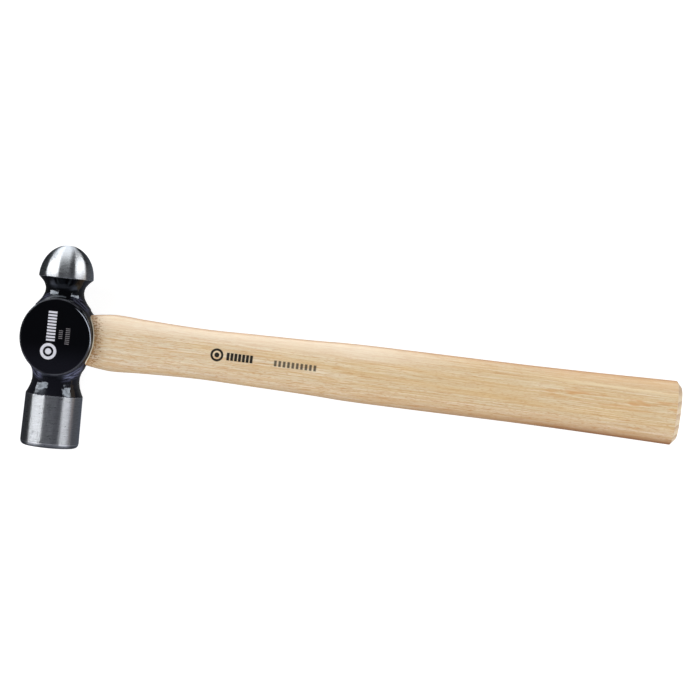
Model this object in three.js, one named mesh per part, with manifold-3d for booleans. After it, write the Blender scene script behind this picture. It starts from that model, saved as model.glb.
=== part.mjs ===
// Ball peen hammer with a 1 lb (454 g) forged head on a hickory handle, lying on one cheek.
// Millimetres. +X runs along the handle to its butt, +Y from the striking face to the ball, and +Z
// is up, square to the cheeks. Every shape is drawn about the centre of the eye, and the finished
// hammer is then moved so that the middle of its box stands on the origin.
import * as THREE from "three";
import { mergeVertices } from "three/addons/utils/BufferGeometryUtils.js";
import Module from "manifold-3d";

const wasm = await Module();
wasm.setup();

// --- Driving dimensions ---------------------------------------------------------------------

const GAP = 0.3; // clearance kept between pieces that are pressed together on the real hammer

// Head, turned about Y: heights along the head's axis, and radii from it.
const FACE_Y = -56.9; // middle of the crowned striking face
const FACE_FLAT_RADIUS = 6; // flat land in the middle of the crown
const FACE_CROWN = 0.4; // fall of the crown at the edge rounding
const FACE_EDGE_ROUND = 2.4;
const BARREL_RADIUS = 14.9; // at the striking face
const BARREL_TOP = { radius: 14.5, y: -29.8 }; // shoulder of the lower neck
const LOWER_NECK = { radius: 12, y: -21.6 };
const LOWER_FLARE = { radius: 13.8, y: -15.05 }; // where the lower neck runs out under the cheeks
const UPPER_FLARE = { radius: 13.8, y: 15.55 };
const UPPER_NECK = { radius: 9.8, y: 23.6 };
const BALL_RIM = { radius: 13.85, y: 30.2 };
const BALL_HEIGHT = 16.55; // from the rim to the top
const NECK_HOLD = 3; // each neck curve starts along the head's axis for about this far

// Cheek boss: a short oval drum across the head, whose two ends are the flat cheeks.
const BOSS_HALF_LENGTH = 18.1; // along the handle
const BOSS_HALF_HEIGHT = 19.55; // along the head
const BOSS_HALF_THICKNESS = 15.05; // the cheeks stand just proud of the barrel
const BOSS_BEVEL = 0.9;

// Eye: an oval hole through the boss, narrowest in the middle.
const EYE_MOUTH_HALF_HEIGHT = 12.4;
const EYE_WAIST_HALF_HEIGHT = 11.4;
const EYE_HALF_LENGTH = 20; // a little past the boss on both sides
const EYE_OVAL = 0.68; // thickness over height

// Handle: its axis passes through the middle of the eye and leans towards the striking face.
const HANDLE_LEAN = THREE.MathUtils.degToRad(1);
const BUTT_X = 318.4; // from the middle of the eye to the end of the handle
const BUTT_CHAMFER_LENGTH = 2.6;
const BUTT_CHAMFER_DEPTH = 3.0;
const SECTION_POWER = 2.6; // 2 is an ellipse; more flattens the sides
// Distance from the middle of the eye, height and thickness of the handle there.
const SECTIONS = [
  [10.8, 24.0, 17.5],
  [14.8, 25.8, 18.7],
  [21.6, 27.9, 20.4],
  [28.5, 29.0, 21.2],
  [43.2, 27.5, 20.2],
  [72.8, 25.8, 18.9],
  [98, 26.7, 19.3],
  [128, 28.0, 20.3],
  [149, 29.6, 21.4],
  [177, 30.0, 21.8],
  [236, 30.2, 22.0],
  [275, 31.2, 22.8],
  [BUTT_X, 33.0, 24.2],
];

// Wedges, driven into the front end of the handle's tongue.
const WOOD_WEDGE = { depth: 24, head: 3.8, tip: 1.2 };
const STEEL_WEDGE = { depth: 13, head: 2.4, tip: 0.7, width: 11, steps: 3, stepDepth: 0.3 };
const STEEL_WEDGE_Y = 6.2; // each steel wedge's distance from the handle's axis

// Fineness of the round shapes.
const TURNED_SEGMENTS = 64;
const CURVE_POINTS = 6;
const BOSS_POINTS = 32;
const HANDLE_SEGMENTS = 48;
const HANDLE_STEP = 7;

// --- Solids ---------------------------------------------------------------------------------

// A closed geometry as a solid that can be joined to others and cut by them.
function solidOf(geometry) {
  const bare = geometry.clone().deleteAttribute("normal").deleteAttribute("uv");
  const merged = mergeVertices(bare, 1e-4);
  const corners = Array.from(merged.index.array);
  const triangles = [];
  for (let i = 0; i < corners.length; i += 3) {
    const [a, b, c] = corners.slice(i, i + 3);
    if (a !== b && b !== c && c !== a) triangles.push(a, b, c);
  }
  return new wasm.Manifold(
    new wasm.Mesh({
      numProp: 3,
      vertProperties: merged.attributes.position.array,
      triVerts: new Uint32Array(triangles),
    }),
  );
}

function geometryOf(solid) {
  const mesh = solid.getMesh();
  const geometry = new THREE.BufferGeometry();
  geometry.setAttribute("position", new THREE.BufferAttribute(mesh.vertProperties, 3));
  geometry.setIndex(new THREE.BufferAttribute(mesh.triVerts, 1));
  geometry.computeVertexNormals();
  return geometry;
}

// A flat outline in XY given a thickness along Z, its middle on the XY plane.
function slab(outline, thickness, bevel = 0) {
  return new THREE.ExtrudeGeometry(outline, {
    depth: thickness - 2 * bevel,
    curveSegments: BOSS_POINTS,
    bevelEnabled: bevel > 0,
    bevelThickness: bevel,
    bevelSize: bevel,
    bevelOffset: -bevel,
    bevelSegments: 2,
  }).translate(0, 0, bevel - thickness / 2);
}

// --- Head -----------------------------------------------------------------------------------

// Half of a neck, a hollow curve from its waist out to the rim beside it. The curve leaves the
// waist along the head's axis, and reaches the rim from a third of the way out.
function neckCurve(waist, rim) {
  const hold = waist.y + NECK_HOLD * Math.sign(rim.y - waist.y);
  const lead = { radius: (waist.radius + 1.1 * rim.radius) / 2.1, y: (waist.y + 2.6 * rim.y) / 3.6 };
  return new THREE.CubicBezierCurve(
    new THREE.Vector2(waist.radius, waist.y),
    new THREE.Vector2(waist.radius, hold),
    new THREE.Vector2(lead.radius, lead.y),
    new THREE.Vector2(rim.radius, rim.y),
  );
}

// The turned form from the middle of the striking face up to the top of the ball.
function headProfile() {
  const edgeY = FACE_Y + FACE_CROWN;
  const face = new THREE.Path();
  face.moveTo(0, FACE_Y);
  face.lineTo(FACE_FLAT_RADIUS, FACE_Y);
  face.lineTo(BARREL_RADIUS - FACE_EDGE_ROUND, edgeY);
  face.quadraticCurveTo(BARREL_RADIUS, edgeY, BARREL_RADIUS, edgeY + FACE_EDGE_ROUND);
  const ball = new THREE.EllipseCurve(0, BALL_RIM.y, BALL_RIM.radius, BALL_HEIGHT, 0, Math.PI / 2);
  const necks = [
    [LOWER_NECK, BARREL_TOP],
    [LOWER_NECK, LOWER_FLARE],
    [UPPER_NECK, UPPER_FLARE],
    [UPPER_NECK, BALL_RIM],
  ].map(([waist, rim]) => neckCurve(waist, rim).getPoints(CURVE_POINTS));
  const [toBarrel, fromLowerNeck, toUpperNeck, toBall] = necks;
  const points = [face.getPoints(CURVE_POINTS), toBarrel.reverse(), fromLowerNeck.slice(1)]
    .concat([toUpperNeck.reverse(), toBall.slice(1), ball.getPoints(2 * CURVE_POINTS).slice(1)])
    .flat();
  points.at(-1).x = 0;
  return points;
}

function bossOutline(grow = 0) {
  const outline = new THREE.Shape();
  outline.absellipse(0, 0, BOSS_HALF_LENGTH + grow, BOSS_HALF_HEIGHT + grow, 0, 2 * Math.PI);
  return outline;
}

// The filled eye, its axis along X. A piece that fits in the eye is made with grow below zero.
function eyeGeometry(halfLength, grow = 0) {
  const flare = (EYE_MOUTH_HALF_HEIGHT - EYE_WAIST_HALF_HEIGHT) / BOSS_HALF_LENGTH;
  const radiusAt = (x) => EYE_WAIST_HALF_HEIGHT + grow + flare * Math.abs(x);
  const stations = [-halfLength, 0, halfLength];
  const profile = stations.map((x) => new THREE.Vector2(radiusAt(x), x));
  profile.unshift(new THREE.Vector2(0, -halfLength));
  profile.push(new THREE.Vector2(0, halfLength));
  return new THREE.LatheGeometry(profile, HANDLE_SEGMENTS)
    .rotateZ(-Math.PI / 2)
    .scale(1, 1, EYE_OVAL + grow / EYE_WAIST_HALF_HEIGHT / 2);
}

function makeHead() {
  const turned = solidOf(new THREE.LatheGeometry(headProfile(), TURNED_SEGMENTS));
  const boss = solidOf(slab(bossOutline(), 2 * BOSS_HALF_THICKNESS, BOSS_BEVEL));
  const eye = solidOf(eyeGeometry(EYE_HALF_LENGTH).rotateZ(-HANDLE_LEAN));
  return turned.add(boss).subtract(eye);
}

// --- Handle and wedges, drawn along X with the handle's axis on it ---------------------------

const sectionSizes = new THREE.CubicInterpolant(
  SECTIONS.map((section) => section[0]),
  SECTIONS.flatMap((section) => section.slice(1)),
  2,
);

// Half the height and half the thickness of the handle at a distance x from the eye.
function halfSizesAt(x) {
  const [height, thickness] = sectionSizes.evaluate(x);
  const along = (x - (BUTT_X - BUTT_CHAMFER_LENGTH)) / BUTT_CHAMFER_LENGTH;
  const inset = BUTT_CHAMFER_DEPTH * Math.max(0, along);
  return [height / 2 - inset, thickness / 2 - inset];
}

// A cylinder of radius 1 whose rings are each pushed out to the handle's section there.
function handleBody() {
  const start = SECTIONS[0][0];
  const chamferStart = BUTT_X - BUTT_CHAMFER_LENGTH;
  const rings = Math.round((chamferStart - start) / HANDLE_STEP);
  const profile = [new THREE.Vector2(0, start)];
  for (let i = 0; i <= rings; i++) {
    profile.push(new THREE.Vector2(1, THREE.MathUtils.lerp(start, chamferStart, i / rings)));
  }
  profile.push(new THREE.Vector2(1, BUTT_X), new THREE.Vector2(0, BUTT_X));

  const body = new THREE.LatheGeometry(profile, HANDLE_SEGMENTS).rotateZ(-Math.PI / 2);
  const points = body.getAttribute("position");
  const pushed = (part) => Math.sign(part) * Math.abs(part) ** (2 / SECTION_POWER);
  for (let i = 0; i < points.count; i++) {
    const [halfHeight, halfThickness] = halfSizesAt(points.getX(i));
    points.setY(i, halfHeight * pushed(points.getY(i)));
    points.setZ(i, halfThickness * pushed(points.getZ(i)));
  }
  return body;
}

// What lies behind the boss's front, so that the tongue and its wedges end flush with it.
function behindFront() {
  const outline = new THREE.Shape();
  const halfLength = BOSS_HALF_LENGTH - GAP;
  const halfHeight = BOSS_HALF_HEIGHT - GAP;
  outline.moveTo(2 * BUTT_X, -halfHeight);
  outline.lineTo(2 * BUTT_X, halfHeight);
  outline.lineTo(0, halfHeight);
  outline.absellipse(0, 0, halfLength, halfHeight, Math.PI / 2, 1.5 * Math.PI);
  return solidOf(slab(outline, 4 * BOSS_HALF_THICKNESS));
}

// A wedge's side view from the front of the boss inwards: its thickness is across Y.
function wedgeOutline({ depth, head, tip, steps = 1, stepDepth = 0 }, grow = 0) {
  const front = -BOSS_HALF_LENGTH - 1;
  const half = (x) => THREE.MathUtils.lerp(head, tip, (x - front) / depth) / 2 + grow;
  const edge = [];
  for (let i = 0; i < steps; i++) {
    const from = front + (depth * i) / steps;
    const to = front + (depth * (i + 1)) / steps;
    edge.push([from, half(from)], [to, half(to) - (i < steps - 1 ? stepDepth : 0)]);
  }
  const outline = new THREE.Shape();
  outline.moveTo(front, -half(front));
  edge.forEach(([x, y]) => outline.lineTo(x + (x > front ? grow : 0), y));
  edge.reverse().forEach(([x, y]) => outline.lineTo(x + (x > front ? grow : 0), -y));
  return outline;
}

// The wooden wedge lies in the plane of the head and handle, across the whole height of the eye.
function woodWedge(grow = 0) {
  const height = 2 * EYE_MOUTH_HALF_HEIGHT + 4 * GAP;
  return solidOf(slab(wedgeOutline(WOOD_WEDGE, grow), height).rotateX(Math.PI / 2));
}

// The steel wedges cross the wooden one, one above and one below the handle's axis.
function steelWedge(side, grow = 0) {
  const outline = wedgeOutline(grow > 0 ? { ...STEEL_WEDGE, steps: 1 } : STEEL_WEDGE, grow);
  const width = STEEL_WEDGE.width + 2 * grow;
  return solidOf(slab(outline, width).translate(0, side * STEEL_WEDGE_Y, 0));
}

const tongue = solidOf(eyeGeometry(EYE_HALF_LENGTH + 4, -GAP));
const clearOfFront = behindFront();
const steelSlots = steelWedge(1, GAP).add(steelWedge(-1, GAP));

function makeHandle() {
  const headRoom = solidOf(slab(bossOutline(GAP), 4 * BOSS_HALF_THICKNESS).rotateZ(HANDLE_LEAN));
  return solidOf(handleBody())
    .subtract(headRoom)
    .add(tongue)
    .intersect(clearOfFront)
    .subtract(woodWedge(GAP))
    .subtract(steelSlots);
}

function makeWoodWedge() {
  return woodWedge().intersect(tongue).intersect(clearOfFront).subtract(steelSlots);
}

function makeSteelWedge(side) {
  return steelWedge(side).intersect(clearOfFront);
}

// --- Scene graph ----------------------------------------------------------------------------

const paintedSteel = { color: 0x131316, roughness: 0.22, metalness: 0.3 };
const hickory = { color: 0xdcc096, roughness: 0.5, metalness: 0 };
const wedgeWood = { color: 0xc49a68, roughness: 0.65, metalness: 0 };
const bareSteel = { color: 0x8d9196, roughness: 0.4, metalness: 0.9 };

function part(name, solid, look) {
  const mesh = new THREE.Mesh(geometryOf(solid), new THREE.MeshStandardMaterial(look));
  mesh.name = name;
  return mesh;
}

const handleFrame = new THREE.Group();
handleFrame.rotation.z = -HANDLE_LEAN;
handleFrame.add(
  part("handle", makeHandle(), hickory),
  part("wood_wedge", makeWoodWedge(), wedgeWood),
  part("steel_wedge_upper", makeSteelWedge(1), bareSteel),
  part("steel_wedge_lower", makeSteelWedge(-1), bareSteel),
);

const hammer = new THREE.Group();
hammer.add(part("head", makeHead(), paintedSteel), handleFrame);

const box = new THREE.Box3().setFromObject(hammer, true);
const middle = box.getCenter(new THREE.Vector3());
hammer.position.set(-middle.x, -middle.y, -box.min.z);

export default hammer;
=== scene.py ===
import math

import bpy
import numpy as np
from mathutils import Matrix, Vector


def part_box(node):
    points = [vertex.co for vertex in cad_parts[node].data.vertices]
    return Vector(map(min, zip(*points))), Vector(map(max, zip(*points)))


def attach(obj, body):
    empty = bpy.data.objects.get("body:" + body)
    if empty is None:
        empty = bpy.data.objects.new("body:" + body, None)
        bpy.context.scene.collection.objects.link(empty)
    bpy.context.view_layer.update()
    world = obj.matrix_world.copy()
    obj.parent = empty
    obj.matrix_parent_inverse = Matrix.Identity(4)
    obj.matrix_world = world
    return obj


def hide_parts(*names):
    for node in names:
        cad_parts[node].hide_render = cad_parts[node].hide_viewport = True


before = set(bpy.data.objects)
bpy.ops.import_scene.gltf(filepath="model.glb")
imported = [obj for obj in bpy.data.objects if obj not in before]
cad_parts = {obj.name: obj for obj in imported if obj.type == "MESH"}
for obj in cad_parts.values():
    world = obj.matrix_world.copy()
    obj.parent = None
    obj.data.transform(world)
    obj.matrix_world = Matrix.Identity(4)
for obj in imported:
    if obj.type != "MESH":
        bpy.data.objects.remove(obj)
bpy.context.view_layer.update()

# A ball peen hammer lying on one cheek. Shapes are drawn in millimetres about the centre of the
# eye, as signed fields (below zero inside the piece), and meshed by dual contouring, which keeps
# their sharp edges. X runs along the handle, Y from the striking face to the ball, Z up.
MM = 0.001

# --- Places taken from the frame ---------------------------------------------------------------

HEAD_LOW, HEAD_HIGH = (np.array(corner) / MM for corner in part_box("head"))
EYE = (HEAD_LOW + HEAD_HIGH) / 2  # the boss is centred on the eye in X and Z
BOSS_HALF_LENGTH, _, BOSS_HALF_THICKNESS = (HEAD_HIGH - HEAD_LOW) / 2
HEAD_LENGTH = HEAD_HIGH[1] - HEAD_LOW[1]
FACE_Y = -56.9
EYE[1] = HEAD_LOW[1] - FACE_Y
LEAN = math.radians(1)  # the handle leans towards the striking face
HANDLE_END = 318.4

# --- Dimensions, in millimetres ----------------------------------------------------------------

FACE_FLAT_RADIUS = 6
FACE_CROWN = 0.4
FACE_EDGE_ROUND = 2.6
BARREL_RADIUS = 14.9
BARREL_TOP = (14.5, -29.8)  # radius and height of each turned feature
LOWER_NECK = (12, -21.6)
LOWER_FLARE = (13.8, -15.05)
UPPER_FLARE = (13.8, 15.55)
UPPER_NECK = (9.8, 23.6)
BALL_RIM = (13.85, 30.2)
BALL_HEIGHT = HEAD_LENGTH + FACE_Y - BALL_RIM[1]
NECK_HOLD = 3
FORGING_DEPTH = 0.025

BOSS_HALF_HEIGHT = 19.55
BOSS_EDGE_ROUND = 0.5
FILLET = 3.2  # between the boss and the necks
FILLET_AT_CHEEK = 0.3

EYE_MOUTH = 12.4  # half height of the eye
EYE_WAIST = 11.4
EYE_OVAL = 0.68
EYE_EDGE_ROUND = 0.7

BUTT_CHAMFER_LENGTH = 2.6
BUTT_CHAMFER_DEPTH = 3.0
SECTION_POWER = 2.6
# Distance from the middle of the eye, height and thickness of the handle there.
SECTIONS = np.array([
    [10.8, 24.0, 17.5],
    [14.8, 25.8, 18.7],
    [21.6, 27.9, 20.4],
    [28.5, 29.0, 21.2],
    [43.2, 27.5, 20.2],
    [72.8, 25.8, 18.9],
    [98, 26.7, 19.3],
    [128, 28.0, 20.3],
    [149, 29.6, 21.4],
    [177, 30.0, 21.8],
    [236, 30.2, 22.0],
    [275, 31.2, 22.8],
    [HANDLE_END, 33.0, 24.2],
])
TONGUE_ROOT = 23  # the tongue runs on this far into the body
TONGUE_GAP = 0.12  # the tongue is driven tight; this much shows as a dark line round it
WEDGE_GAP = 0.06
SHOULDER_GAP = 0.15  # between the handle's shoulder and the head's outside
FRONT_INSET = 0.05  # the tongue and wedges end this far behind the boss's front

WOOD_WEDGE = {"depth": 24, "head": 3.8, "tip": 1.2}
STEEL_WEDGE = {"depth": 13, "head": 2.4, "tip": 0.7}
STEEL_WEDGE_WIDTH = 11
STEEL_WEDGE_Y = 6.2


# --- Signed fields -----------------------------------------------------------------------------

def smooth_max(a, b, k):
    h = np.clip(0.5 + 0.5 * (a - b) / k, 0, 1)
    return b + (a - b) * h + k * h * (1 - h)


def smooth_min(a, b, k):
    return -smooth_max(-a, -b, k)


def neck_curve(waist, rim, count=300):
    """Half of a neck, from its waist out to a rim: radius and height along a cubic curve."""
    waist, rim = np.array(waist), np.array(rim)
    hold = (waist[0], waist[1] + NECK_HOLD * np.sign(rim[1] - waist[1]))
    lead = ((waist[0] + 1.1 * rim[0]) / 2.1, (waist[1] + 2.6 * rim[1]) / 3.6)
    t = np.linspace(0, 1, count)[:, None]
    weights = np.hstack([(1 - t) ** 3, 3 * t * (1 - t) ** 2, 3 * t**2 * (1 - t), t**3])
    return weights @ np.array([waist, hold, lead, rim])


def turned_profile():
    """Radius over height from below the striking face up to the ball's rim."""
    foot = np.array([[BARREL_RADIUS, FACE_Y - 5], [BARREL_RADIUS, FACE_Y + FACE_CROWN]])
    parts = [
        foot,
        neck_curve(LOWER_NECK, BARREL_TOP)[::-1],
        neck_curve(LOWER_NECK, LOWER_FLARE)[1:],
        neck_curve(UPPER_NECK, UPPER_FLARE)[::-1],
        neck_curve(UPPER_NECK, BALL_RIM)[1:],
    ]
    radius, height = np.vstack(parts).T
    return height, radius, np.gradient(radius, height)


PROFILE = turned_profile()


def forging(x, y, z):
    """The forged skin's shallow waves, on the necks only."""
    reach = np.clip((np.minimum(np.abs(y) - 14, 29.3 - np.abs(y))) / 4, 0, 1)
    waves = np.sin(1.35 * x + 0.5 * y) * np.sin(1.1 * z - 1.5 * y) + np.sin(2.3 * y + 0.8 * z - 0.6 * x)
    return FORGING_DEPTH * reach * waves


def turned(x, y, z):
    """The turned form: striking face, barrel, necks and ball."""
    height, radius, slope = PROFILE
    r = np.hypot(x, z) + forging(x, y, z)
    side = (r - np.interp(y, height, radius)) / np.hypot(1, np.interp(y, height, slope))
    up = np.maximum(y - BALL_RIM[1], 0)
    q = np.hypot(r / BALL_RIM[0], up / BALL_HEIGHT) + 1e-9
    ball = (q - 1) * q / (np.hypot(r / BALL_RIM[0] ** 2, up / BALL_HEIGHT**2) + 1e-9)
    out = np.maximum(r - FACE_FLAT_RADIUS, 0) / (BARREL_RADIUS - FACE_EDGE_ROUND - FACE_FLAT_RADIUS)
    face = FACE_Y + FACE_CROWN * out**2 - y
    return smooth_max(np.where(up > 0, ball, side), face, FACE_EDGE_ROUND)


def boss(x, y, z, grow=0.0):
    """The oval drum across the head whose ends are the cheeks."""
    a, b = BOSS_HALF_LENGTH + grow, BOSS_HALF_HEIGHT + grow
    q = np.hypot(x / a, y / b) + 1e-9
    wall = (q - 1) * q / (np.hypot(x / a**2, y / b**2) + 1e-9)
    return wall, np.abs(z) - BOSS_HALF_THICKNESS


def to_handle(x, y):
    """Head axes to handle axes."""
    return x * math.cos(LEAN) - y * math.sin(LEAN), x * math.sin(LEAN) + y * math.cos(LEAN)


def to_head(x, y):
    """Handle axes to head axes."""
    return x * math.cos(LEAN) + y * math.sin(LEAN), -x * math.sin(LEAN) + y * math.cos(LEAN)


def eye(x, y, z, grow=0.0):
    """The filled eye in handle axes."""
    radius = EYE_WAIST + grow + (EYE_MOUTH - EYE_WAIST) / BOSS_HALF_LENGTH * np.abs(x)
    q = np.hypot(y, z / EYE_OVAL) + 1e-9
    return (q - radius) * q / (np.hypot(y, z / EYE_OVAL**2) + 1e-9)


def outer_head(x, y, z):
    """The head's outside, as if it had no eye: boss, turned form and the fillets between them."""
    wall, cheek = boss(x, y, z)
    drum = smooth_max(wall, cheek, BOSS_EDGE_ROUND)
    near_cheek = np.clip((np.abs(z) - 8) / 5, 0, 1)
    fillet = FILLET + (FILLET_AT_CHEEK - FILLET) * near_cheek**2 * (3 - 2 * near_cheek)
    return smooth_min(turned(x, y, z), drum, fillet)


def head(x, y, z):
    return smooth_max(outer_head(x, y, z), -eye(*to_handle(x, y), z), EYE_EDGE_ROUND)


def section_table():
    """Height and thickness of the handle at every quarter millimetre, by a smooth cubic."""
    at, sizes = SECTIONS[:, 0], SECTIONS[:, 1:]
    slopes = np.gradient(sizes, at, axis=0)
    slopes[1:-1] = (sizes[2:] - sizes[:-2]) / (at[2:] - at[:-2])[:, None]
    x = np.arange(at[0], at[-1], 0.25)
    i = np.clip(np.searchsorted(at, x, side="right") - 1, 0, len(at) - 2)
    span = (at[i + 1] - at[i])[:, None]
    t = (x - at[i])[:, None] / span
    rise = sizes[i] * (2 * t**3 - 3 * t**2 + 1) + sizes[i + 1] * (3 * t**2 - 2 * t**3)
    bend = slopes[i] * (t**3 - 2 * t**2 + t) + slopes[i + 1] * (t**3 - t**2)
    return x, rise + bend * span


SECTION_AT, SECTION_SIZES = section_table()


def handle_body(x, y, z):
    inset = BUTT_CHAMFER_DEPTH / BUTT_CHAMFER_LENGTH
    inset = inset * np.maximum(x - (HANDLE_END - BUTT_CHAMFER_LENGTH), 0)
    half_height = np.interp(x, SECTION_AT, SECTION_SIZES[:, 0]) / 2 - inset
    half_thickness = np.interp(x, SECTION_AT, SECTION_SIZES[:, 1]) / 2 - inset
    u, v = np.abs(y) / half_height, np.abs(z) / half_thickness
    q = (u**SECTION_POWER + v**SECTION_POWER) ** (1 / SECTION_POWER) + 1e-9
    pull = np.hypot(u ** (SECTION_POWER - 1) / half_height, v ** (SECTION_POWER - 1) / half_thickness)
    side = (q - 1) * q ** (SECTION_POWER - 1) / (pull + 1e-6)
    return np.maximum(side, np.maximum(x - HANDLE_END, SECTIONS[0, 0] - x))


def front(x, y, z):
    """Ends the tongue and wedges at the boss's front."""
    wall, _ = boss(*to_head(x, y), z, -FRONT_INSET)
    return np.where(x < 0, wall, -5)


def wedge(x, across, shape, grow=0.0):
    """A long taper in X, its thickness across the given coordinate."""
    start = -BOSS_HALF_LENGTH - 1
    along = (x - start) / shape["depth"]
    half = (shape["head"] + (shape["tip"] - shape["head"]) * along) / 2 + grow
    return np.maximum(np.abs(across) - half, x - start - shape["depth"] - grow)


def steel_wedges(x, y, z, grow=0.0, sides=(-1, 1)):
    """The steel wedges on the given sides: -1 towards the striking face, 1 towards the ball."""
    width = np.abs(z) - STEEL_WEDGE_WIDTH / 2 - grow
    taper = [wedge(x, y - side * STEEL_WEDGE_Y, STEEL_WEDGE, grow) for side in sides]
    return np.maximum(np.minimum.reduce(taper), width)


def tongue(x, y, z):
    return eye(x, y, z, -TONGUE_GAP)


def handle(x, y, z):
    wall, _ = boss(*to_head(x, y), z, SHOULDER_GAP)
    body = np.maximum(handle_body(x, y, z), -wall)
    body = np.maximum(body, SHOULDER_GAP - outer_head(*to_head(x, y), z))
    inner = np.maximum(tongue(x, y, z), x - TONGUE_ROOT)
    solid = np.maximum(np.minimum(body, inner), front(x, y, z))
    solid = np.maximum(solid, -wedge(x, z, WOOD_WEDGE, WEDGE_GAP))
    return np.maximum(solid, -steel_wedges(x, y, z, WEDGE_GAP))


def wood_wedge(x, y, z):
    solid = np.maximum(wedge(x, z, WOOD_WEDGE), tongue(x, y, z))
    solid = np.maximum(solid, -steel_wedges(x, y, z, WEDGE_GAP))
    return np.maximum(solid, front(x, y, z))


def steel_wedge(side):
    return lambda x, y, z: np.maximum(steel_wedges(x, y, z, 0, (side,)), front(x, y, z))


# --- Meshing -----------------------------------------------------------------------------------

HALVINGS = 14  # how often an edge is halved to find where the surface cuts it
PULL_TO_MIDDLE = 0.02  # keeps a vertex near its cell's middle where the planes don't pin it down
NORMAL_INSET = 0.12

def gradient(field, points, step=0.004):
    """The field's unit gradient, which is the surface's normal."""
    rows = []
    for axis in range(3):
        shift = np.zeros(3)
        shift[axis] = step
        rows.append(field(*(points + shift).T) - field(*(points - shift).T))
    slope = np.stack(rows, axis=-1) / (2 * step)
    return slope / np.maximum(np.linalg.norm(slope, axis=-1, keepdims=True), 1e-9)


def crossings(field, axes, values, axis):
    """Where the surface cuts the grid's edges along one axis, and the four cells round each."""
    low, high = [slice(None)] * 3, [slice(None)] * 3
    low[axis], high[axis] = slice(0, -1), slice(1, None)
    a, b = values[tuple(low)], values[tuple(high)]
    at = np.argwhere((a < 0) != (b < 0))
    start = np.stack([axes[k][at[:, k]] for k in range(3)], axis=-1)
    end = start.copy()
    end[:, axis] = axes[axis][at[:, axis] + 1]
    inside_low = a[tuple(at.T)] < 0
    inner = np.where(inside_low[:, None], start, end)
    outer = np.where(inside_low[:, None], end, start)
    for _ in range(HALVINGS):
        middle = (inner + outer) / 2
        is_in = (field(*middle.T) < 0)[:, None]
        inner, outer = np.where(is_in, middle, inner), np.where(is_in, outer, middle)
    u, v = (axis + 1) % 3, (axis + 2) % 3
    around = []
    for du, dv in ((-1, -1), (0, -1), (0, 0), (-1, 0)):
        cell = at.copy()
        cell[:, u] += du
        cell[:, v] += dv
        around.append(cell)
    around = np.stack(around, axis=1)
    around[~inside_low] = around[~inside_low][:, ::-1]
    return (inner + outer) / 2, around


def contour(field, axes):
    """Vertices and quads of the field's zero surface. Each cell's vertex is put where the tangent
    planes that cross it meet, so edges and corners stay sharp."""
    values = field(*np.meshgrid(*axes, indexing="ij"))
    found = [crossings(field, axes, values, axis) for axis in range(3)]
    points = np.vstack([p for p, _ in found])
    cells = np.vstack([c for _, c in found])
    normals = gradient(field, points)
    shape = np.array([len(a) - 1 for a in axes])
    ids = (cells[..., 0] * shape[1] + cells[..., 1]) * shape[2] + cells[..., 2]
    used, quads = np.unique(ids, return_inverse=True)
    quads = quads.reshape(-1, 4)
    count = len(used)

    def gathered(weights):
        return np.bincount(quads.ravel(), np.repeat(weights, 4), count)

    hits = gathered(np.ones(len(points)))
    middle = np.stack([gathered(points[:, k]) for k in range(3)], axis=-1) / hits[:, None]
    offset = (normals * points).sum(1)
    system = np.stack(
        [gathered(normals[:, i] * normals[:, j]) for i in range(3) for j in range(3)], axis=-1
    ).reshape(-1, 3, 3)
    right = np.stack([gathered(normals[:, k] * offset) for k in range(3)], axis=-1)
    right = right - np.einsum("nij,nj->ni", system, middle)
    system = system + PULL_TO_MIDDLE * np.eye(3)
    vertices = middle + np.linalg.solve(system, right[..., None])[..., 0]

    index = np.stack(np.unravel_index(used, shape), axis=-1)
    low = np.stack([axes[k][index[:, k]] for k in range(3)], axis=-1)
    high = np.stack([axes[k][index[:, k] + 1] for k in range(3)], axis=-1)
    vertices = np.clip(vertices, low, high)
    for _ in range(2):
        normal = gradient(field, vertices)
        vertices = vertices - np.clip(field(*vertices.T), -0.1, 0.1)[:, None] * normal
    return vertices, quads


def spread(*stops):
    """Grid lines from stop to stop: each stop is a place and the spacing up to the next one."""
    lines = [np.arange(a, b, step) for (a, step), (b, _) in zip(stops, stops[1:])]
    return np.concatenate(lines + [[stops[-1][0]]])


def even(low, high, step):
    """Even grid lines from low to high, no further apart than the step."""
    return np.linspace(low, high, int(math.ceil((high - low) / step)) + 1)


def make_piece(name, field, axes, place, material, node):
    """Meshes a field and hands the piece to the frame. Normals are sampled just inside each face's
    corners, so that a sharp edge keeps a normal of its own on either side."""
    vertices, quads = contour(field, axes)
    mesh = bpy.data.meshes.new(name)
    mesh.from_pydata((vertices * MM).tolist(), [], quads.tolist())
    mesh.shade_smooth()
    corners = vertices[quads]
    sampled = corners * (1 - NORMAL_INSET) + corners.mean(1, keepdims=True) * NORMAL_INSET
    normals = gradient(field, sampled.reshape(-1, 3))
    mesh.normals_split_custom_set(normals.tolist())
    mesh.materials.append(material)
    piece = bpy.data.objects.new(name, mesh)
    bpy.context.scene.collection.objects.link(piece)
    piece.matrix_world = place
    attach(piece, "root")
    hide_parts(node)
    print(name, len(quads), "faces")


# --- Node arithmetic ---------------------------------------------------------------------------

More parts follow.
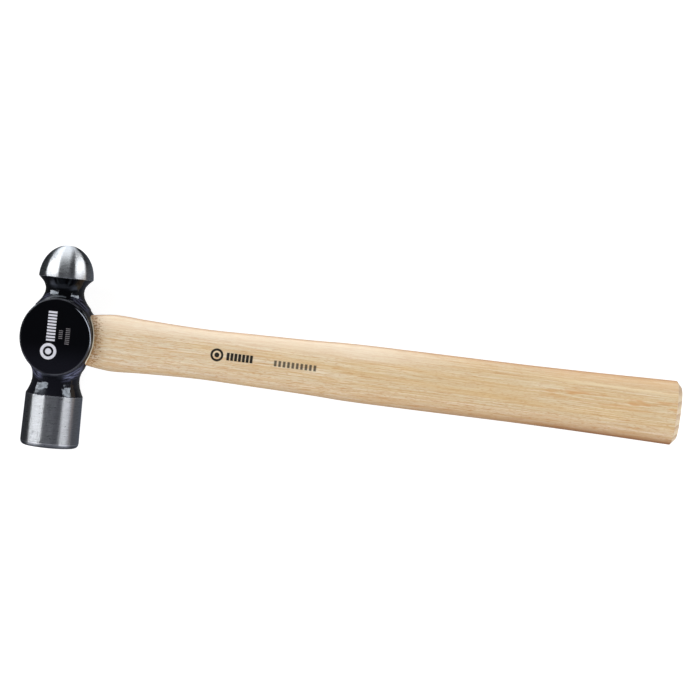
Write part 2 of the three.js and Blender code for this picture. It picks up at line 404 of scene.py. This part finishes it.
class Signal:
    """A number that varies over a surface. Arithmetic on it adds Math nodes."""

    def __init__(self, tree, socket):
        self.tree = tree
        self.socket = socket

    def math(self, operation, *others):
        node = self.tree.nodes.new("ShaderNodeMath")
        node.operation = operation
        for socket, value in zip(node.inputs, (self, *others)):
            plug(self.tree, value, socket)
        return Signal(self.tree, node.outputs[0])

    def __add__(self, other):
        return self.math("ADD", other)

    def __sub__(self, other):
        return self.math("SUBTRACT", other)

    def __mul__(self, other):
        return self.math("MULTIPLY", other)

    def __abs__(self):
        return self.math("ABSOLUTE")

    def hypot(self, other):
        return (self * self + other * other).math("SQRT")

    def rise(self, low, high, bottom=0.0, top=1.0):
        """A smooth step from bottom to top between two values."""
        node = self.tree.nodes.new("ShaderNodeMapRange")
        node.interpolation_type = "SMOOTHSTEP"
        plug(self.tree, self, node.inputs["Value"])
        for socket, value in zip(list(node.inputs)[1:5], (low, high, bottom, top)):
            socket.default_value = value
        return Signal(self.tree, node.outputs["Result"])

    def within(self, low, high, soft=0.12):
        """1 between two values and 0 outside them, over a soft edge."""
        return self.rise(low - soft, low + soft) * self.rise(high - soft, high + soft, 1, 0)


def plug(tree, value, socket):
    """Links a signal or a node's output to a socket, or sets the socket to a plain value."""
    if isinstance(value, Signal):
        tree.links.new(value.socket, socket)
    elif isinstance(value, bpy.types.NodeSocket):
        tree.links.new(value, socket)
    else:
        socket.default_value = value


def new_material(name, **uniform):
    """A material with one Principled shader, the named sockets set to the given values."""
    material = bpy.data.materials.new(name)
    material.use_nodes = True
    shader = material.node_tree.nodes["Principled BSDF"]
    for socket, value in uniform.items():
        shader.inputs[socket.replace("_", " ")].default_value = value
    return material, material.node_tree, shader


def vector_math(tree, operation, first, second):
    node = tree.nodes.new("ShaderNodeVectorMath")
    node.operation = operation
    plug(tree, first, node.inputs[0])
    plug(tree, second, node.inputs[1])
    return node.outputs["Vector"]


def place_of(tree):
    """The point on the piece in millimetres, in the piece's own axes."""
    source = tree.nodes.new("ShaderNodeTexCoord").outputs["Object"]
    return vector_math(tree, "MULTIPLY", source, (1 / MM,) * 3)


def split(tree, vector):
    node = tree.nodes.new("ShaderNodeSeparateXYZ")
    plug(tree, vector, node.inputs[0])
    return [Signal(tree, socket) for socket in node.outputs]


def join(tree, x, y, z):
    node = tree.nodes.new("ShaderNodeCombineXYZ")
    for socket, value in zip(node.inputs, (x, y, z)):
        plug(tree, value, socket)
    return node.outputs[0]


def noise(tree, place, size, detail=2.0, roughness=0.5):
    """Noise whose grains have the given size in millimetres along each axis."""
    node = tree.nodes.new("ShaderNodeTexNoise")
    plug(tree, vector_math(tree, "DIVIDE", place, size), node.inputs["Vector"])
    node.inputs["Scale"].default_value = 1
    node.inputs["Detail"].default_value = detail
    node.inputs["Roughness"].default_value = roughness
    return Signal(tree, node.outputs["Fac"])


def mix(tree, share, first, second):
    """The first colour, and the second one where the share is 1."""
    node = tree.nodes.new("ShaderNodeMix")
    node.data_type = "RGBA"
    colours = [socket for socket in node.inputs if socket.type == "RGBA"]
    plug(tree, share, node.inputs[0])
    plug(tree, first, colours[0])
    plug(tree, second, colours[1])
    return next(socket for socket in node.outputs if socket.type == "RGBA")


def bump(tree, height, shader):
    """Height is in millimetres."""
    node = tree.nodes.new("ShaderNodeBump")
    node.inputs["Distance"].default_value = MM
    plug(tree, height, node.inputs["Height"])
    tree.links.new(node.outputs["Normal"], shader.inputs["Normal"])


def srgb(red, green, blue):
    """A screen colour, 0 to 255, as linear light."""
    return tuple(
        (c / 255 / 12.92) if c < 11 else ((c / 255 + 0.055) / 1.055) ** 2.4
        for c in (red, green, blue)
    ) + (1.0,)


def boss_share(x, y):
    """0 in the middle of the eye and 1 on the boss's oval wall."""
    return (x * (1 / BOSS_HALF_LENGTH)).hypot(y * (1 / BOSS_HALF_HEIGHT))


# --- Marks -------------------------------------------------------------------------------------

def target_mark(u, v, radius):
    """A ring with a dot in it."""
    distance = u.hypot(v)
    return distance.within(radius * 0.65, radius) + distance.rise(radius * 0.34, radius * 0.42, 1, 0)


def bar_row(along, across, first, last, height, pitch, gap=0.2):
    """A row of plain bars. The gap is the share of the pitch left clear on each side of a bar."""
    part = ((along - first) * (1 / pitch)).math("FRACT")
    return part.within(gap, 1 - gap) * along.within(first, last) * across.within(-height / 2, height / 2)


# --- Materials ---------------------------------------------------------------------------------

def head_finish():
    """Black lacquer on the boss and necks; turned, polished steel on the barrel, face and ball."""
    material, tree, shader = new_material(
        "forged_head",
        IOR=1.52,
        Anisotropic=1.0,
        Anisotropic_Rotation=0.25,
        Specular_Tint=(0.8, 0.89, 1, 1),
    )
    place = place_of(tree)
    x, y, z = split(tree, place)

    ragged = noise(tree, place, (1.6, 3, 1.6), 3, 0.6) - 0.5
    edge = y + ragged * 0.9
    bare = (abs(edge) - 30).rise(-0.12, 0.12)

    radius = x.hypot(z)
    round_tip = radius.hypot(y - (HEAD_LENGTH + FACE_Y)) + radius
    turned_place = join(tree, x, round_tip, z)
    turning = noise(tree, turned_place, (4, 0.35, 4), 2, 0.6) - 0.5
    grinding = noise(tree, turned_place, (0.8, 0.4, 0.8), 2, 0.7) - 0.5
    patches = noise(tree, place, (9, 7, 9), 2, 0.5) - 0.5

    on_cheek = z.rise(14.6, 14.9)
    white = target_mark(x + 2.8, y + 7.6, 4.1) + bar_row(y, x + 2.3, -2.6, 13, 4.4, 1.56)
    grey = bar_row(y, x - 2.6, -1, 3.8, 2, 0.96, 0.28) + bar_row(y, x - 6.1, -3.5, 5.14, 2.2, 0.96, 0.28)

    steel = mix(tree, turning + grinding * 0.8 + 0.5, srgb(150, 152, 155), srgb(210, 213, 216))
    # Painted reflection: the lacquer is a lighter bluish black towards the striking face and near black
    # towards the ball.
    lacquer = mix(tree, y.rise(-16, -2), srgb(17, 17, 23), srgb(4, 4, 6))
    rim = boss_share(x, y)
    # Edge wear round the cheek rims, lightened in patches; the same grey also serves as a painted sheen
    # along the rims.
    rim_wear_and_sheen = (rim + z * (1 / BOSS_HALF_THICKNESS)).rise(1.95, 1.97) * rim.rise(1.02, 1.04, 1, 0)
    lacquer = mix(tree, rim_wear_and_sheen * patches.rise(-0.15, 0.1) * 0.2, lacquer, srgb(130, 132, 140))
    # Painted highlight: a thin bluish-white line just inside the cheek's rim, on its upper right only.
    rim_highlight = (rim + y * 0.004).within(0.972, 0.99, 0.006) * on_cheek * x.rise(8, 13) * y.rise(-8, 0)
    lacquer = mix(tree, rim_highlight * 0.85, lacquer, srgb(205, 212, 224))
    # Painted reflection: bluish-white streaks in the fillets between the boss and the necks, strongest on
    # the striking face's side.
    reflection_streaks = noise(tree, join(tree, rim * 18, x * 0.25, z * 0.25), (0.5, 1, 1), 2, 0.6)
    crease_reflection = rim.rise(1.0, 1.03) * rim.rise(1.12, 1.24, 1, 0) * abs(x).rise(4, 8)
    crease_reflection = crease_reflection * (y.rise(-13, -9, 1, 0) + y.rise(9, 13) * 0.5) * z.rise(1.5, 6)
    lacquer = mix(tree, crease_reflection * reflection_streaks.rise(0.35, 0.65) * 0.7, lacquer, srgb(112, 115, 142))
    # Painted shade: the steel is darkened round the rounded edge of the striking face.
    face_edge_shade = radius.rise(11.5, 13) * y.rise(FACE_Y + 1.2, FACE_Y + 2.2, 1, 0)
    steel = mix(tree, face_edge_shade * 0.6, steel, srgb(96, 97, 102))
    # Painted shade: the ball's steel is darker on its left and right, where it mirrors a dark room.
    ball_side_shade = abs(x).rise(3, 5) * y.rise(33, 40)
    steel = mix(tree, ball_side_shade * 0.3, steel, srgb(112, 115, 120))
    # Painted highlight: a bright thin ring on the barrel just behind the striking face's rounded edge.
    steel = mix(tree, y.within(FACE_Y + 2.4, FACE_Y + 2.8) * 0.8, steel, srgb(246, 247, 248))
    marked = mix(tree, on_cheek * white, lacquer, srgb(205, 205, 212))
    marked = mix(tree, on_cheek * grey, marked, srgb(108, 105, 107))
    plug(tree, mix(tree, bare, marked, steel), shader.inputs["Base Color"])
    plug(tree, bare, shader.inputs["Metallic"])
    steel_gloss = turning * 0.25 + grinding * 0.25 + patches * 0.06 + y.rise(-30, 30, 0.34, 0.325)
    at_joint = x.rise(10, 15) * abs(y).rise(15, 17, 1, 0) * z.rise(14.2, 14.7, 1, 0)
    lacquer_gloss = patches * 0.06 + at_joint * 0.3 + 0.1
    plug(tree, at_joint * -0.44 + 0.5, shader.inputs["Specular IOR Level"])
    rough = bare * (steel_gloss - lacquer_gloss) + lacquer_gloss + on_cheek * white * 0.25
    plug(tree, rough, shader.inputs["Roughness"])

    peel = noise(tree, place, (1.7, 1.7, 1.7), 1, 0.4) * 0.035
    cut = turning * 0.007 + grinding * y.rise(-30, 30, 0.005, 0.0043)
    bump(tree, bare * (cut - peel) + peel + bare * -0.05, shader)
    turned_round_y = tree.nodes.new("ShaderNodeTangent")
    turned_round_y.direction_type = "RADIAL"
    turned_round_y.axis = "Y"
    tree.links.new(turned_round_y.outputs["Tangent"], shader.inputs["Tangent"])
    return material


def handle_wood():
    """Varnished hickory: straight grain along X with short open pores."""
    material, tree, shader = new_material("hickory", IOR=1.45)
    place = place_of(tree)
    x, y, z = split(tree, place)

    sway = noise(tree, place, (90, 20, 20), 2, 0.5) - 0.5
    drift = noise(tree, place, (110, 24, 24), 1, 0.5) - 0.5
    grain_y = y + sway * 1.6
    grain_z = z + drift * 1.6
    grained = join(tree, x, grain_y, grain_z)

    fibres = noise(tree, grained, (55, 0.6, 0.6), 3, 0.6) - 0.5
    hairs = noise(tree, grained, (38, 0.4, 0.4), 1, 0.4) - 0.5
    dashes = noise(tree, grained, (9, 0.45, 0.45), 1, 0.4).rise(0.6, 0.7)
    pores = noise(tree, grained, (2.2, 0.4, 0.4), 1, 0.4).rise(0.56, 0.66)
    rings = (grain_y + x * 0.05 + 60).hypot(grain_z + 34) + (noise(tree, grained, (60, 4, 4), 1) - 0.5) * 2.2
    ring = (rings * (1 / 5.2)).math("FRACT")
    late = ring.rise(0.2, 0.9) * ring.rise(0.9, 1.0, 1, 0)
    bands = noise(tree, join(tree, x, grain_y + x * 0.05, grain_z), (150, 3.4, 3.4), 2, 0.55) - 0.5
    clouds = noise(tree, place, (34, 9, 9), 2, 0.5) - 0.5

    along = x.rise(50, 190)
    wood = mix(tree, along, srgb(216, 201, 174), srgb(214, 194, 158))
    # Painted light and shade: the wood is lighter towards its upper edge and darker towards its lower edge.
    wood = mix(tree, y.rise(3, 14) * 0.4, wood, srgb(219, 200, 174))
    wood = mix(tree, y.rise(-15, -5, 1, 0) * 0.5, wood, srgb(212, 182, 146))
    wood = mix(tree, bands.rise(-0.12, 0.2) * 0.3, wood, srgb(212, 180, 126))
    wood = mix(tree, clouds.rise(0, 0.25) * 0.3, wood, srgb(224, 194, 142))
    wood = mix(tree, late * 0.25, wood, srgb(210, 174, 122))
    wood = mix(tree, fibres.rise(0.0, 0.16) * 0.45, wood, srgb(196, 156, 102))
    wood = mix(tree, fibres.rise(-0.18, -0.02, 1, 0) * 0.45, wood, srgb(238, 226, 204))
    wood = mix(tree, hairs.rise(0.06, 0.16) * 0.45, wood, srgb(202, 156, 100))
    wood = mix(tree, dashes * y.rise(-12, -2, 0.7, 0.45), wood, srgb(190, 136, 80))
    wood = mix(tree, pores * y.rise(-12, -2, 0.5, 0.35), wood, srgb(192, 140, 88))

    near_butt = x.rise(235, 262)
    blotch = noise(tree, grained, (13, 2.1, 2.1), 2, 0.6).rise(0.46, 0.62) * y.within(0, 5.5, 2)
    wood = mix(tree, near_butt * blotch * 0.75, wood, srgb(204, 154, 100))
    pale = (grain_y + x * 0.012 - 13.3).within(-0.7, 0.7, 0.6) * near_butt
    wood = mix(tree, pale * 0.35, wood, srgb(244, 226, 190))
    wood = mix(tree, y.rise(10.2, 11.5) * near_butt * 0.45, wood, srgb(214, 180, 140))
    # Painted highlight: a pale band along the upper edge, fading out between 150 and 220 mm from the eye.
    wood = mix(tree, y.rise(4, 11) * x.rise(150, 220, 0.55, 0), wood, srgb(246, 228, 204))
    # Painted shade: darker brown along the rounded upper edge, narrow near the eye and wider towards the
    # butt.
    upper_side_shade = abs(z).rise(3.5, 8, 1, 0) * x.rise(120, 250, 0, 0.75)
    upper_edge_shade = abs(z).rise(3.5, 6, 1, 0) * x.rise(120, 250, 0.6, 0)
    wood = mix(tree, (upper_side_shade + upper_edge_shade) * y.rise(0, 4), wood, srgb(190, 142, 94))
    # Painted shade: the lower side darkens towards the butt, and a painted shadow darkens its bottom edge at
    # the butt most.
    lower_side_shade = abs(z).rise(4, 11.5, 1, 0) * y.rise(-4, 0, 1, 0)
    under_butt_shadow = abs(z).rise(4, 8, 1, 0) * y.rise(-14, -10, 1, 0)
    wood = mix(tree, under_butt_shadow * near_butt * 0.55, wood, srgb(104, 66, 36))
    wood = mix(tree, lower_side_shade * x.rise(80, 330, 0, 0.85), wood, srgb(156, 104, 62))

    from_boss = (boss_share(x, y) - 1) * BOSS_HALF_LENGTH + x.rise(0, 5, 20, 0)
    speckle = noise(tree, place, (1.5, 0.8, 0.8), 1, 0.7) + from_boss.rise(0.5, 7, 0.16, -0.1)
    wood = mix(tree, from_boss.rise(0, 6, 1, 0) * 0.25, wood, srgb(204, 158, 104))
    wood = mix(tree, speckle.rise(0.57, 0.62) * from_boss.rise(4, 9, 1, 0) * 0.7, wood, srgb(160, 108, 56))
    wood = mix(tree, from_boss.rise(0.6, 0.85, 1, 0) * 0.9, wood, srgb(250, 240, 214))
    # Painted shadow: a dark sliver on the wood right against the boss, in the shoulder gap.
    wood = mix(tree, from_boss.rise(0.18, 0.25, 1, 0) * 0.9, wood, srgb(70, 54, 36))

    at_butt = x.rise(HANDLE_END - BUTT_CHAMFER_LENGTH - 0.2, HANDLE_END - BUTT_CHAMFER_LENGTH + 0.3)
    dots = noise(tree, place, (1.4, 0.5, 0.5), 1, 0.5).rise(0.42, 0.68)
    end = mix(tree, late * 0.45 + dots * 0.35, srgb(242, 224, 194), srgb(184, 138, 92))
    wood = mix(tree, at_butt * 0.9, wood, end)

    on_top = z.rise(3, 5)
    ink = target_mark(x - 81.4, y - 0.85, 3.3) + bar_row(x, y - 0.7, 86.1, 99.96, 3.9, 1.98, 0.12)
    fine = bar_row(x, y - 0.2, 110.2, 132.6, 3, 2.24)
    wood = mix(tree, ink * on_top * 0.98, wood, srgb(8, 8, 8))
    wood = mix(tree, fine * on_top * 0.85, wood, srgb(38, 35, 32))

    plug(tree, wood, shader.inputs["Base Color"])
    plug(tree, fibres * 0.12 + dashes * 0.15 + 0.42, shader.inputs["Roughness"])
    bump(tree, fibres * 0.02 + hairs * 0.012 - dashes * 0.04, shader)
    return material


def wedge_wood():
    material, tree, shader = new_material("wedge_maple", IOR=1.45)
    place = place_of(tree)
    fibres = noise(tree, place, (20, 0.5, 0.4), 3, 0.6)
    wood = mix(tree, fibres.rise(0.35, 0.65), srgb(176, 132, 88), srgb(206, 168, 122))
    plug(tree, wood, shader.inputs["Base Color"])
    plug(tree, fibres * 0.2 + 0.42, shader.inputs["Roughness"])
    bump(tree, fibres * 0.05, shader)
    return material


def bare_steel():
    material, tree, shader = new_material("bare_steel", Metallic=1.0)
    place = place_of(tree)
    scale = noise(tree, place, (0.8, 0.8, 0.8), 3, 0.6)
    strikes = noise(tree, place, (0.3, 2.4, 0.3), 2, 0.5)
    steel = mix(tree, scale.rise(0.35, 0.65), srgb(112, 112, 114), srgb(168, 169, 172))
    plug(tree, steel, shader.inputs["Base Color"])
    plug(tree, strikes * 0.3 + 0.24, shader.inputs["Roughness"])
    bump(tree, scale * 0.03 + strikes * 0.02, shader)
    return material


# --- Pieces ------------------------------------------------------------------------------------

HEAD_PLACE = Matrix.Translation(Vector(EYE) * MM)
HANDLE_PLACE = HEAD_PLACE @ Matrix.Rotation(-LEAN, 4, "Z")
FRONT_X = -BOSS_HALF_LENGTH - 0.5

make_piece(
    "hammer_head",
    head,
    (
        even(FRONT_X, -FRONT_X, 0.46),
        even(FACE_Y - 1, HEAD_LENGTH + FACE_Y + 1, 0.48),
        even(-BOSS_HALF_THICKNESS - 0.6, BOSS_HALF_THICKNESS + 0.6, 0.42),
    ),
    HEAD_PLACE,
    head_finish(),
    "head",
)
make_piece(
    "hickory_handle",
    handle,
    (
        spread((FRONT_X, 0.5), (34, 2.2), (HANDLE_END - 6, 0.5), (HANDLE_END + 0.8, 1)),
        even(-17.3, 17.3, 0.6),
        even(-12.9, 12.9, 0.6),
    ),
    HANDLE_PLACE,
    handle_wood(),
    "handle",
)
make_piece(
    "eye_wedge",
    wood_wedge,
    (spread((FRONT_X, 0.3), (7, 1)), even(-13.2, 13.2, 0.3), even(-2.3, 2.3, 0.3)),
    HANDLE_PLACE,
    wedge_wood(),
    "wood_wedge",
)
WEDGE_STEEL = bare_steel()
for side, part in ((1, "upper"), (-1, "lower")):
    middle = side * STEEL_WEDGE_Y
    make_piece(
        f"steel_wedge_{part}_look",
        steel_wedge(side),
        (spread((FRONT_X, 0.3), (-4, 1)), even(middle - 1.6, middle + 1.6, 0.25), even(-6, 6, 0.3)),
        HANDLE_PLACE,
        WEDGE_STEEL,
        f"steel_wedge_{part}",
    )


# --- Floor, lights and camera ------------------------------------------------------------------

VIEW_TURN = math.radians(6.1)  # the picture's horizontal is turned this much from the row's X
VIEW_TILT = math.radians(1)
VIEW_DISTANCE = 870
VIEW_WIDTH = 358.4
VIEW_CENTRE = (148.3, -6.9)  # from the eye, along the picture's right and up
LAMP_DISTANCE = 2.4  # in metres, as the floor is
FLOOR_HALF_SIZE = 3.0
RIGHT = Vector((math.cos(VIEW_TURN), math.sin(VIEW_TURN), 0))
UP = Vector((-math.sin(VIEW_TURN), math.cos(VIEW_TURN), 0))
ABOVE = Vector((0, 0, 1))


def add_floor():
    """A lit white table. The hammer rests on it with the edge of its cheek and the butt."""
    size = FLOOR_HALF_SIZE
    hinge = (EYE[0] + BOSS_HALF_LENGTH) * MM
    low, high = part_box("handle")
    slope = low.z / (high.x - hinge)
    mesh = bpy.data.meshes.new("floor")
    corners = [(x, y, (x - hinge) * slope) for x, y in
               ((-size, -size), (size, -size), (size, size), (-size, size))]
    mesh.from_pydata(corners, [], [(0, 1, 2, 3)])
    material, tree, shader = new_material("floor_paper", Roughness=0.9, Emission_Strength=0.9)
    shader.inputs["Base Color"].default_value = (0.3, 0.3, 0.3, 1)
    shader.inputs["Emission Color"].default_value = (1, 1, 1, 1)
    mesh.materials.append(material)
    floor = bpy.data.objects.new("floor", mesh)
    bpy.context.scene.collection.objects.link(floor)
    floor.visible_glossy = False
    floor.visible_diffuse = False


def softbox(name, aside, upward, width, height, radiance, mirrored=True):
    """A soft light seen from the eye at two angles from the vertical, its size also in degrees."""
    a, b = math.radians(aside), math.radians(upward)
    towards = RIGHT * math.sin(a) * math.cos(b) + UP * math.sin(b) + ABOVE * math.cos(a) * math.cos(b)
    light = bpy.data.lights.new(name, "AREA")
    light.shape = "RECTANGLE"
    light.size = 2 * LAMP_DISTANCE * math.tan(math.radians(width / 2))
    light.size_y = 2 * LAMP_DISTANCE * math.tan(math.radians(height / 2))
    light.energy = radiance * math.pi * light.size * light.size_y
    box = bpy.data.objects.new(name, light)
    bpy.context.scene.collection.objects.link(box)
    up = (UP - towards * UP.dot(towards)).normalized()
    across = up.cross(towards)
    turn = Matrix((across, up, towards)).transposed().to_4x4()
    box.matrix_world = Matrix.Translation(Vector(EYE) * MM + towards * LAMP_DISTANCE) @ turn
    box.visible_camera = False
    box.visible_glossy = mirrored


def add_world():
    """A dark ceiling, a white wall beyond the ball, a dimmer room beyond the striking face and a
    faint glow low at the sides. Mirrors see the wall brighter, and the camera sees plain white."""
    world = bpy.data.worlds.new("studio")
    world.use_nodes = True
    tree = world.node_tree
    direction = tree.nodes.new("ShaderNodeTexCoord").outputs["Generated"]
    x, y, z = split(tree, direction)
    aside = x * RIGHT.x + y * RIGHT.y
    ahead = x * UP.x + y * UP.y
    left_of_wall = (ahead + aside).rise(0, 0.5)
    right_of_wall = (ahead - aside * 3).rise(0, 0.15)
    wall = left_of_wall * right_of_wall * z.rise(0.4, 0.54, 1, 0) * z.rise(-0.85, -0.7)
    from_sides = abs(aside).rise(0.5, 0.8, 0.32, 1) * abs(aside).rise(0.85, 1, 1, 0.3)
    room = ahead.rise(-0.6, -0.1, 1, 0) * from_sides * z.rise(-0.35, 0.05)
    sides = z.rise(-0.05, 0.5, 1, 0) * aside.rise(-0.4, 0.4, 0.02, 0.14) * ahead.rise(0.1, 0.5, 1, 0)
    ray = tree.nodes.new("ShaderNodeLightPath")
    mirrored = Signal(tree, ray.outputs["Is Glossy Ray"])
    strength = wall * (mirrored * 1.1 + 1.6) + room * 1.1 + sides + 0.04
    seen = Signal(tree, ray.outputs["Is Camera Ray"])
    strength = strength + seen * 0.8
    tree.links.new(strength.socket, tree.nodes["Background"].inputs["Strength"])
    colour = mix(tree, ahead.rise(-0.3, 0.1), (0.84, 0.86, 1, 1), (0.96, 0.98, 1, 1))
    colour = mix(tree, seen, colour, (1, 1, 1, 1))
    plug(tree, colour, tree.nodes["Background"].inputs["Color"])
    bpy.context.scene.world = world


def add_camera():
    camera = bpy.data.cameras.new("camera")
    camera.sensor_width = 36
    camera.lens = camera.sensor_width * VIEW_DISTANCE / VIEW_WIDTH
    towards = ABOVE * math.cos(VIEW_TILT) + UP * math.sin(VIEW_TILT)
    up = towards.cross(RIGHT)
    middle = Vector(EYE) + RIGHT * VIEW_CENTRE[0] + UP * VIEW_CENTRE[1]
    turn = Matrix((RIGHT, up, towards)).transposed().to_4x4()
    holder = bpy.data.objects.new("camera", camera)
    bpy.context.scene.collection.objects.link(holder)
    holder.matrix_world = Matrix.Translation((middle + towards * VIEW_DISTANCE) * MM) @ turn
    bpy.context.scene.camera = holder


add_floor()
add_world()
for name, aside, width in (("left", -58, 54), ("right", 80, 48)):
    for half, upward in (("upper", 35.6), ("lower", 24.4)):
        softbox(f"{name}_{half}_softbox", aside, upward, width, 8, 10.5)
softbox("front_fill", 10, -55, 60, 40, 3.1, mirrored=False)
add_camera()
bpy.context.scene.view_settings.view_transform = "Standard"
